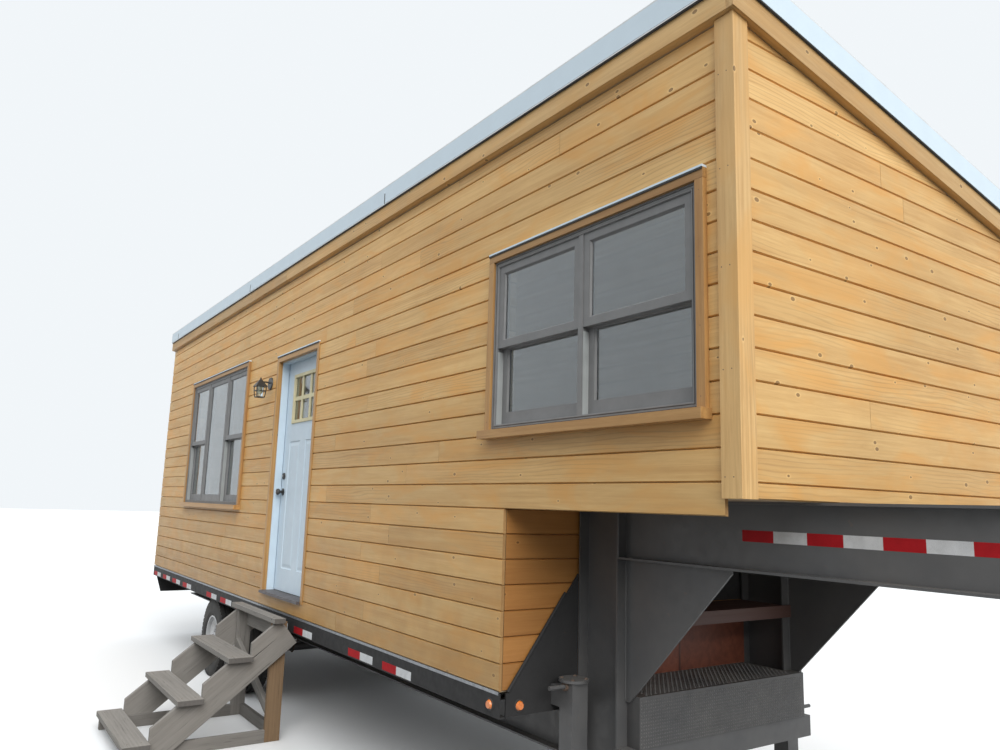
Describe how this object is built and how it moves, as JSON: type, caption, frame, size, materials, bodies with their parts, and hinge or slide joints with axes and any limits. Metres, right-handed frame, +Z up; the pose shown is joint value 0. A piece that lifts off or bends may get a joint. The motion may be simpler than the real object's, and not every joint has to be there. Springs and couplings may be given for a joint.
{
  "type": "tiny house on a gooseneck trailer",
  "caption": "Narrow timber house with a sloping roof and a raised loft end, built on a road trailer with a gooseneck, an entry door and wooden steps.",
  "frame": {"origin": "on the ground, under the centre of the whole box, steps and gooseneck included", "axes": "+X along the house to the coupler, +Y from the door wall to the low wall, +Z up"},
  "size_m": [10.37, 3.766, 4.0977],
  "materials": {
    "pine_siding": "clear-stained pine boards",
    "pine_trim": "clear-stained pine boards",
    "casing_wood": "reddish stained wood",
    "framing": "plain boarded frame",
    "white_metal": "white folded sheet",
    "roof_metal": "white ribbed sheet",
    "galvanised": "dull galvanised strip",
    "window_paint": "dark grey-brown, satin",
    "window_glass": "clear",
    "door_paint": "white, satin",
    "light_frame": "aged pale yellow",
    "black_metal": "black, satin",
    "hinge_steel": "satin",
    "threshold": "dark bronze",
    "trailer_paint": "dark grey, satin",
    "tread_plate": "dark grey raised pattern",
    "shelf_board": "red-brown paint",
    "tyre": "worn rubber",
    "rim": "silver paint",
    "amber_lens": "amber lens",
    "weathered_wood": "grey weathered lumber"
  },
  "bodies": {
    "house": {"side_siding": "pine_siding", "end_siding": "pine_siding", "step_siding": "pine_siding", "eave_fascias": "pine_trim", "rake_fascias": "pine_trim", "corner_boards": "pine_trim", "window_casings": "casing_wood", "door_casing_legs": "casing_wood", "door_casing_head": "casing_wood", "near_wall": "framing", "door_infill_walls": "framing", "far_wall": "framing", "loft_side_walls": "framing", "step_corner_walls": "framing", "end_walls": "framing", "floors": "framing", "roof_deck": "framing", "eave_metal": "white_metal", "rake_metal": "white_metal", "drip_caps": "white_metal", "roof_sheet": "roof_metal", "flashings": "galvanised", "window_frames": "window_paint", "window_sashes": "window_paint", "window_glass": "window_glass", "lantern_glass": "window_glass", "door_jambs": "door_paint", "door_head": "door_paint", "lantern": "black_metal", "frame_hinges": "hinge_steel", "threshold": "threshold", "main_beams": "trailer_paint", "risers": "trailer_paint", "neck_beams": "trailer_paint", "neck_gussets": "trailer_paint", "crossmembers": "trailer_paint", "side_rails": "trailer_paint", "end_plates": "trailer_paint", "crossbeams": "trailer_paint", "coupler": "trailer_paint", "axles": "trailer_paint", "springs": "trailer_paint", "jacks": "trailer_paint", "jack_brackets": "trailer_paint", "toolbox": "tread_plate", "shelf": "shelf_board", "red_panel": "shelf_board", "tyres": "tyre", "rims": "rim", "marker_lamps": "amber_lens", "stair_stringers": "weathered_wood", "stair_treads": "weathered_wood", "stair_posts": "weathered_wood", "stair_braces": "weathered_wood"},
    "door": {"door_leaf": "door_paint", "door_light": "light_frame", "door_glass": "window_glass", "door_knobs": "black_metal", "door_hinges": "hinge_steel"}
  },
  "joints": [
    {"name": "door_hinge", "type": "hinge", "parent": "house", "child": "door", "pos_m": [0.2395, -0.524, 2], "axis": [0, 0, -1], "range_deg": [0, 95]}
  ]
}
